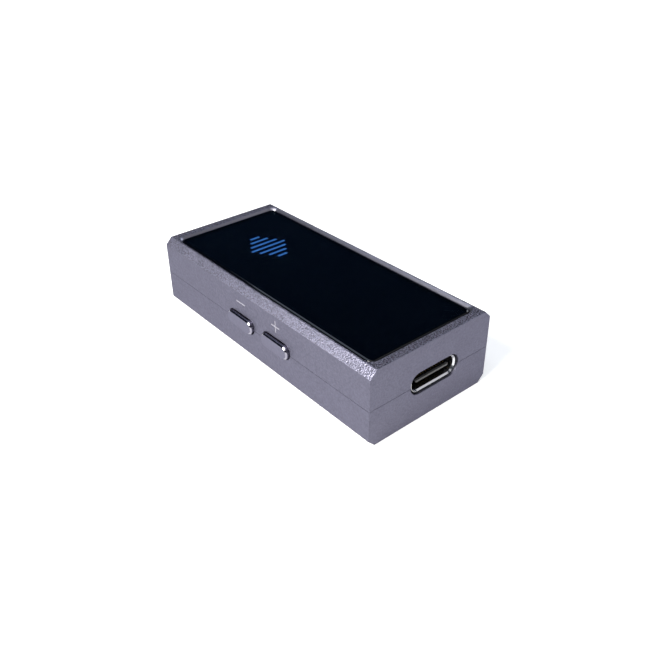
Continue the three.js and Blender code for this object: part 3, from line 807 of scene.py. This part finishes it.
# ---------------------------------------------------------------- screws
def screw(name, direction, head, thread, drive):
    """A cross-head screw that points up (1) or down (-1). The head is a list of (radius, distance from
    its face), the thread is its outer radius, and the drive is the slots' (span, width, depth)."""
    low, high = box_mm(name)
    face = low.z if direction > 0 else high.z
    length, tip = high.z - low.z, 0.3
    pitch, groove = 0.3, 0.06
    profile = list(head)
    start = head[-1][1]
    turns = int((length - tip - start) / pitch)
    for i in range(turns):
        profile.append((thread - groove, start + (i + 0.25) * pitch))
        profile.append((thread, start + (i + 0.75) * pitch))
    profile.append((thread - groove, length - tip))
    profile.append((thread / 2, length))
    rings = [(circle(radius, steps=8), face + direction * along) for radius, along in profile]
    at = foot_point(name)
    piece = loft(f"{name}_cross_head", rings, at=at)
    span, width, depth = drive
    outside, inside = sorted((face - direction * OVER, face + direction * depth))
    for across, along in ((span, width), (width, span)):
        low_corner = (at[0] - across / 2, at[1] - along / 2, outside)
        high_corner = (at[0] + across / 2, at[1] + along / 2, inside)
        combine(piece, [block("driver_slot", low_corner, high_corner)])
    round_edges(piece, 0.025, angle=50)
    paint(piece, SCREW_STEEL)
    return place(piece, replaces=[name])


# screw heads, each (radius, distance from the face)
COUNTERSUNK = [(1.34, 0), (1.4, 0.06), (0.64, 0.8)]
PAN = [(0.8, 0), (1.05, 0.08), (1.15, 0.25), (1.15, 0.55), (0.48, 0.55)]
for name in CASE_SCREWS:
    screw(name, 1, COUNTERSUNK, thread=0.63, drive=(1.5, 0.36, 0.5))
for name in BOARD_SCREWS:
    screw(name, -1, PAN, thread=0.48, drive=(1.2, 0.3, 0.35))


# ---------------------------------------------------------------- parts on the circuit board
BOARD_TOP = box_mm("circuit_board")[1].z


def standing(name):
    """Where a board part is soldered, where its face is, and which way it stands up from the board."""
    low, high = box_mm(name)
    if high.z < BOARD_TOP:
        return high.z, low.z, -1
    return low.z, high.z, 1


def along_sides(size, pitch, clear):
    """Places along a side, evenly spaced and clear of its corners."""
    count = int((size - 2 * clear) / pitch) + 1
    return [(i - (count - 1) / 2) * pitch for i in range(count)]


def chip_body(name, inset):
    """A moulded chip with a bevelled face and a dimple that marks its first pin."""
    low, high = box_mm(name)
    foot, face, up = standing(name)
    width, depth = high.x - low.x, high.y - low.y
    corner, bevel, lift = 0.12, 0.07, 0.04
    outline = rounded(width, depth, corner + inset, -inset, steps=3)
    top = rounded(width, depth, corner + inset, -inset - bevel, steps=3)
    rings = [(outline, foot + up * lift), (outline, face - up * bevel), (top, face)]
    body = loft(f"{name}_body", rings, at=foot_point(name))
    dimple, reach, sunk = 0.2, 0.6, 0.05
    at = (low.x + inset + reach, high.y - inset - reach, 0)
    ends = sorted((face - up * sunk, face + up * OVER))
    combine(body, [prism("dimple", circle(dimple, steps=5), *ends, at=at)])
    paint(body, CHIP)
    return place(body, replaces=[name])


def flat_pads(name):
    """The solder pads along the edges of a leadless chip, and the large one under its middle."""
    low, high = box_mm(name)
    foot, _, up = standing(name)
    centre = middle(name)
    half_x, half_y = (high.x - low.x) / 2, (high.y - low.y) / 2
    pitch, wide, long, thick, clear = 0.5, 0.26, 0.4, 0.16, 0.6
    bottom, top = sorted((foot, foot + up * thick))

    def pad(x0, x1, y0, y1):
        """A pad between two places along each side, measured from the chip's middle."""
        x0, x1, y0, y1 = centre.x + x0, centre.x + x1, centre.y + y0, centre.y + y1
        return block("pad", (min(x0, x1), min(y0, y1), bottom), (max(x0, x1), max(y0, y1), top))

    pads = []
    for side in (-1, 1):
        for along in along_sides(2 * half_x, pitch, clear):
            start, end = along - wide / 2, along + wide / 2
            pads.append(pad(start, end, side * half_y, side * (half_y - long)))
            pads.append(pad(side * half_x, side * (half_x - long), start, end))
    slab = half_x - 2 * long
    pads.append(pad(-slab, slab, -slab, slab))
    piece = assembled(f"{name}_pads", pads)
    paint(piece, TIN)
    return place(piece)


def bent_leads(name, reach):
    """The bent leads along all four sides of a chip."""
    low, high = box_mm(name)
    foot, _, _ = standing(name)
    centre = middle(name)
    pitch, wide, clear = 0.5, 0.22, 0.4
    thick, shoulder = 0.12, 0.51  # of a lead, and how high its upper face leaves the body
    upper = [(0, shoulder), (0.2, shoulder), (0.32, thick), (reach, thick)]
    lower = [(reach, 0), (0.25, 0), (0.13, shoulder - thick), (0, shoulder - thick)]
    half = (high.x - low.x) / 2
    leads = []
    for side in (-1, 1):
        outline = [(side * (half - reach + out), foot + rise) for out, rise in upper + lower]
        for step in along_sides(2 * (half - reach), pitch, clear):
            for axis, mid in (("x", centre.x), ("y", centre.y)):
                along = mid + step
                at = (0, centre.y, 0) if axis == "x" else (centre.x, 0, 0)
                leads.append(prism("lead", outline, along - wide / 2, along + wide / 2, axis, at))
    piece = assembled(f"{name}_leads", leads)
    paint(piece, TIN)
    return place(piece)


def crystal(name):
    """A crystal: a pressed metal lid on a ceramic base."""
    low, high = box_mm(name)
    foot, face, _ = standing(name)
    base, step, bevel, corner = 0.3, 0.12, 0.08, 0.3
    size = (high.x - low.x, high.y - low.y, corner)
    rings = [
        (rounded(*size), foot),
        (rounded(*size), foot + base),
        (rounded(*size, -step), foot + base),
        (rounded(*size, -step), face - bevel),
        (rounded(*size, -step - bevel), face),
    ]
    piece = loft(f"{name}_can", rings, at=foot_point(name))
    round_edges(piece, 0.03)
    paint(piece, CERAMIC)
    paint(piece, STEEL, lambda at, normal: at.z > foot + base + TOUCH)
    return place(piece, replaces=[name])


def end_caps(name, wide, tall, wrap=0.35):
    """The folded metal ends of a two-terminal part."""
    low, high = box_mm(name)
    foot, _, up = standing(name)
    y = middle(name).y
    bottom, top = sorted((foot, foot + up * tall))
    return [
        block("cap", (start, y - wide / 2, bottom), (start + wrap, y + wide / 2, top))
        for start in (low.x, high.x - wrap)
    ]


def inductor(name):
    """A pressed-powder inductor with its folded end straps."""
    low, high = box_mm(name)
    foot, face, up = standing(name)
    inset, lift, bevel, corner = 0.08, 0.1, 0.2, 0.5
    size = (high.x - low.x, high.y - low.y, corner)
    rings = [
        (rounded(*size, -inset), foot + up * lift),
        (rounded(*size, -inset), face - up * bevel),
        (rounded(*size, -inset - bevel), face),
    ]
    body = loft(f"{name}_body", rings, at=foot_point(name))
    round_edges(body, 0.06)
    paint(body, CHIP)
    place(body, replaces=[name])
    straps = assembled(f"{name}_straps", end_caps(name, wide=2.4, tall=1.0))
    round_edges(straps, 0.04)
    paint(straps, TIN)
    return place(straps)


def tantalum(name):
    """A moulded capacitor: drafted sides, a dark band at one end, and folded end caps."""
    low, high = box_mm(name)
    foot, face, up = standing(name)
    inset, draft, band, lift, corner = 0.08, 0.06, 0.75, 0.06, 0.12
    width, height = high.y - low.y, abs(face - foot) - lift
    centre = middle(name)
    outline = rounded(width, height, corner, steps=3)
    tapered = rounded(width, height, corner, -draft, steps=3)
    ends = [(tapered, low.x + inset), (outline, low.x + inset + draft), (outline, low.x + band)]
    ends += [(outline, high.x - inset - draft), (tapered, high.x - inset)]
    body = loft(f"{name}_body", ends, "x", (0, centre.y, face - up * height / 2))
    paint(body, TANTALUM)
    paint(body, TANTALUM_BAND, lambda at, normal: at.x < low.x + band)
    place(body, replaces=[name])
    caps = assembled(f"{name}_caps", end_caps(name, wide=1.0, tall=0.7, wrap=0.3))
    round_edges(caps, 0.03)
    paint(caps, TIN)
    return place(caps)


def shield_can():
    """A folded lid with rounded corners and a field of small vents."""
    low, high = box_mm("shield_can")
    centre = middle("shield_can")
    wall, corner, crown = 0.2, 0.6, 0.15
    size = (high.x - low.x, high.y - low.y, corner)
    rings = [
        (rounded(*size), low.z),
        (rounded(*size), high.z - crown),
        (rounded(*size, -crown / 3), high.z - crown / 3),
        (rounded(*size, -crown), high.z),
    ]
    at = foot_point("shield_can")
    can = loft("shield_can_lid", rings, at=at)
    tools = [prism("hollow", rounded(*size, -wall), low.z - OVER, high.z - wall, at=at)]
    pitch, vent, count = 1.3, 0.3, 4
    for i in range(count):
        for j in range(count):
            x = centre.x + (i - (count - 1) / 2) * pitch
            y = centre.y + (j - (count - 1) / 2) * pitch
            hole = circle(vent, steps=4)
            tools.append(prism("vent", hole, high.z - 2 * wall, high.z + OVER, at=(x, y, 0)))
    combine(can, tools)
    paint(can, STEEL)
    return place(can, replaces=["shield_can"])


def lamp(name):
    """A surface-mount lamp: a white reflector cup filled with phosphor."""
    low, high = box_mm(name)
    corner, bevel = 0.12, 0.04
    size = (high.x - low.x, high.y - low.y, corner)
    rings = [
        (rounded(*size, steps=3), low.z),
        (rounded(*size, steps=3), high.z - bevel),
        (rounded(*size, -bevel, steps=3), high.z),
    ]
    body = loft(f"{name}_cup", rings, at=foot_point(name))
    wide, narrow, depth = circle(0.46, steps=6), circle(0.36, steps=6), 0.22
    bowl = [(narrow, high.z - depth), (wide, high.z), (wide, high.z + OVER)]
    combine(body, [loft("bowl", bowl, at=foot_point(name))])
    paint(body, WHITE_PLASTIC)
    paint(body, PHOSPHOR, lambda at, normal: at.z < high.z - 0.95 * depth and normal.z > 0.9)
    return place(body, replaces=[name])


def ceramic_capacitor(x, y, turned):
    """A small ceramic part with metal ends, lying along x, or along y when turned."""
    half, wide, tall, cap = 0.5, 0.5, 0.36, 0.24
    corner, step = 0.05, 0.02
    body = rounded(wide, tall, corner, -step, steps=2)
    end = rounded(wide, tall, corner, steps=2)
    inner = half - cap
    rings = [(end, -half), (end, -inner), (body, -inner), (body, inner), (end, inner), (end, half)]
    part = loft("capacitor", rings, "y" if turned else "x", (x, y, BOARD_TOP + tall / 2))
    paint(part, TIN)
    return paint(part, CERAMIC, lambda at, normal: abs((at.y - y) if turned else (at.x - x)) < cap / 2)


def board_capacitors():
    """The rows of small ceramic parts round the chips, each (x, y, step x, step y, count)."""
    rows = [
        (9.7, 5.35, 1.35, 0, 5),
        (10.0, -2.25, 1.35, 0, 4),
        (-2.4, -0.9, 0, 1.4, 6),
        (-5.2, -2.6, 1.35, 0, 9),
        (-5.2, -3.6, 1.35, 0, 9),
        (-5.2, -5.2, 1.35, 0, 9),
        (16.9, -2.6, 0, 1.4, 6),
    ]
    parts = []
    for x, y, step_x, step_y, count in rows:
        parts += [ceramic_capacitor(x + i * step_x, y + i * step_y, step_y > 0) for i in range(count)]
    return place(assembled("board_capacitors", parts))


for name in ("dac_chip", "amplifier_chip_1", "amplifier_chip_2", "power_chip"):
    chip_body(name, 0.05)
    flat_pads(name)
chip_body("usb_bridge_chip", 0.5)
bent_leads("usb_bridge_chip", 0.5)
for name in ("clock_crystal_1", "clock_crystal_2"):
    crystal(name)
inductor("power_inductor")
for name in ("tantalum_capacitor_1", "tantalum_capacitor_2", "tantalum_capacitor_3"):
    tantalum(name)
shield_can()
for name in ("light_led_1", "light_led_2"):
    lamp(name)
board_capacitors()


# ---------------------------------------------------------------- contacts, mouldings and pressings
def contact_spring(name):
    """A gilt contact: a strip bent over so that its crown presses on the plug."""
    low, high = box_mm(name)
    centre = middle(name)
    thick, steps = 0.14, 8
    half = (high.x - low.x) / 2

    def arch(radius):
        """The line up one leg, over the crown and down the other."""
        turns = [math.pi * i / steps for i in range(steps + 1)]
        crown = [(radius * math.cos(turn), high.z - half + radius * math.sin(turn)) for turn in turns]
        return [(radius, low.z), *crown, (-radius, low.z)]

    outline = arch(half) + arch(half - thick)[::-1]
    piece = prism(f"{name}_spring", outline, low.y, high.y, "y", (centre.x, 0, 0))
    paint(piece, GOLD)
    return place(piece, replaces=[name])


FINISHED = {  # width of the rounded edges, material and slot
    "circuit_board": (0.03, BOARD, "green_board"),
    "light_board": (0.03, BOARD, "green_board"),
    "light_bracket": (0.08, BLACK_PLASTIC, "black_plastic"),
    "light_cable": (0.03, AMBER, "amber_film"),
    "emblem_light_guide": (0.06, WHITE_PLASTIC, "white_diffuser"),
    "usb_housing": (0.04, BLACK_PLASTIC, "black_plastic"),
    "jack_4_4_housing": (0.12, BLACK_PLASTIC, "black_plastic"),
    "jack_3_5_housing": (0.12, BLACK_PLASTIC, "black_plastic"),
}
for name, (width, material, slot) in FINISHED.items():
    finished(name, width, material)
for name in KEYS:
    finished(f"{name}_switch_body", 0.06, BLACK_PLASTIC)
    finished(f"{name}_switch_strap", 0.04, STEEL)
    finished(f"{name}_switch_plunger", 0.08, WHITE_PLASTIC, f"{name}_button")
for name in frame["nodes"]:
    if "_contact_" in name:
        contact_spring(name)


# ---------------------------------------------------------------- CAD nodes that show as they are
for name, material in {"window_tape": TAPE, "emblem_film": PRINT}.items():
    sheet = frame["nodes"][name]
    sheet.data.materials.clear()
    sheet.data.materials.append(material)


# ---------------------------------------------------------------- studio
def floor():
    """A pale floor just under the case, lit a little from within so that it stays white."""
    side, thick, below = 4000, 5, 0.05
    obj = block("floor", (-side, -side, -thick), (side, side, -below))
    material, tree, shader = new_material("pale_floor")
    vector = millimetres(tree)
    tone = ramp(tree, noise(tree, vector, 0.02, 2), [(0.3, 0.86), (0.7, 0.88)])
    tree.links.new(tone, shader.inputs["Base Color"])
    tree.links.new(tone, shader.inputs["Emission Color"])
    shader.inputs["Emission Strength"].default_value = 0.63
    shader.inputs["Roughness"].default_value = 0.9
    shader.inputs["Specular IOR Level"].default_value = 0.1
    obj.data.materials.append(material)
    obj.data.transform(Matrix.Scale(MM, 4))


def area_light(name, direction, distance, size, power, colour=(1, 1, 1)):
    """A softbox in a direction from the object, facing it. Distance and size are in metres."""
    target = Vector((0, 0, 0.006))  # about the middle of the case
    data = bpy.data.lights.new(name, "AREA")
    data.color = colour
    data.shape = "RECTANGLE"
    data.size, data.size_y = size
    data.energy = power
    light = bpy.data.objects.new(name, data)
    towards = Vector(direction).normalized()
    light.location = target + towards * distance
    light.rotation_euler = towards.to_track_quat("Z", "Y").to_euler()
    bpy.context.scene.collection.objects.link(light)


def sun_light(name, direction, strength, spread):
    """A wide overhead light whose spread is in degrees."""
    data = bpy.data.lights.new(name, "SUN")
    data.energy = strength
    data.angle = math.radians(spread)
    light = bpy.data.objects.new(name, data)
    light.rotation_euler = Vector(direction).to_track_quat("Z", "Y").to_euler()
    bpy.context.scene.collection.objects.link(light)


def world():
    """A white wall low round the studio, fading to a dark ceiling."""
    made = bpy.data.worlds.new("studio")
    made.use_nodes = True
    tree = made.node_tree
    parts = node(tree, "ShaderNodeSeparateXYZ")
    tree.links.new(node(tree, "ShaderNodeTexCoord").outputs["Generated"], parts.inputs["Vector"])
    dark = (0.004, 0.012, 0.03)
    height = ramp(tree, parts.outputs["Z"], [(0.0, 0.6), (0.06, 0.45), (0.2, dark), (1.0, dark)])
    tree.links.new(height, tree.nodes["Background"].inputs["Color"])
    bpy.context.scene.world = made


def camera():
    """The camera: where it stands round the case's centre, and how its lens is set."""
    azimuth, elevation, roll = math.radians(51.297), math.radians(31.068), math.radians(-1.215)
    distance, sensor, lens = 119.64, 36.0, 40.72
    shift_x, shift_y = 0.0174, -0.0316
    flat = math.cos(elevation)
    back = Vector((math.sin(azimuth) * flat, -math.cos(azimuth) * flat, math.sin(elevation)))
    level_right = Vector((math.cos(azimuth), math.sin(azimuth), 0))
    level_up = back.cross(level_right)
    right = math.cos(roll) * level_right + math.sin(roll) * level_up
    up = back.cross(right)
    data = bpy.data.cameras.new("camera")
    data.sensor_width, data.lens = sensor, lens
    data.shift_x, data.shift_y = shift_x, shift_y
    data.clip_start, data.clip_end = 0.005, 20
    obj = bpy.data.objects.new("camera", data)
    centre = Vector((0, 0, TOP / 2))
    matrix = Matrix((right, up, back)).transposed().to_4x4()
    matrix.translation = (centre + back * distance) * MM
    obj.matrix_world = matrix
    bpy.context.scene.collection.objects.link(obj)
    bpy.context.scene.camera = obj


WARM = (1, 0.98, 0.9)
COOL = (0.84, 0.91, 1)
BLUE = (0.7, 0.82, 1)
floor()
camera()
sun_light("overhead", (0.3, -0.35, 0.9), 0.8, 50)
area_light("front_softbox", (0.0, -0.8, 0.6), 0.6, (0.28, 0.28), 6.8, WARM)
area_light("left_softbox", (-0.48, -0.12, 0.87), 0.7, (0.45, 0.45), 1.0, BLUE)
area_light("back_softbox", (-0.05, 0.88, 0.47), 0.8, (0.36, 0.36), 1.2, COOL)
area_light("right_softbox", (0.46, 0.56, 0.69), 0.8, (0.3, 0.3), 0.28)
world()
bpy.context.scene.view_settings.view_transform = "Standard"
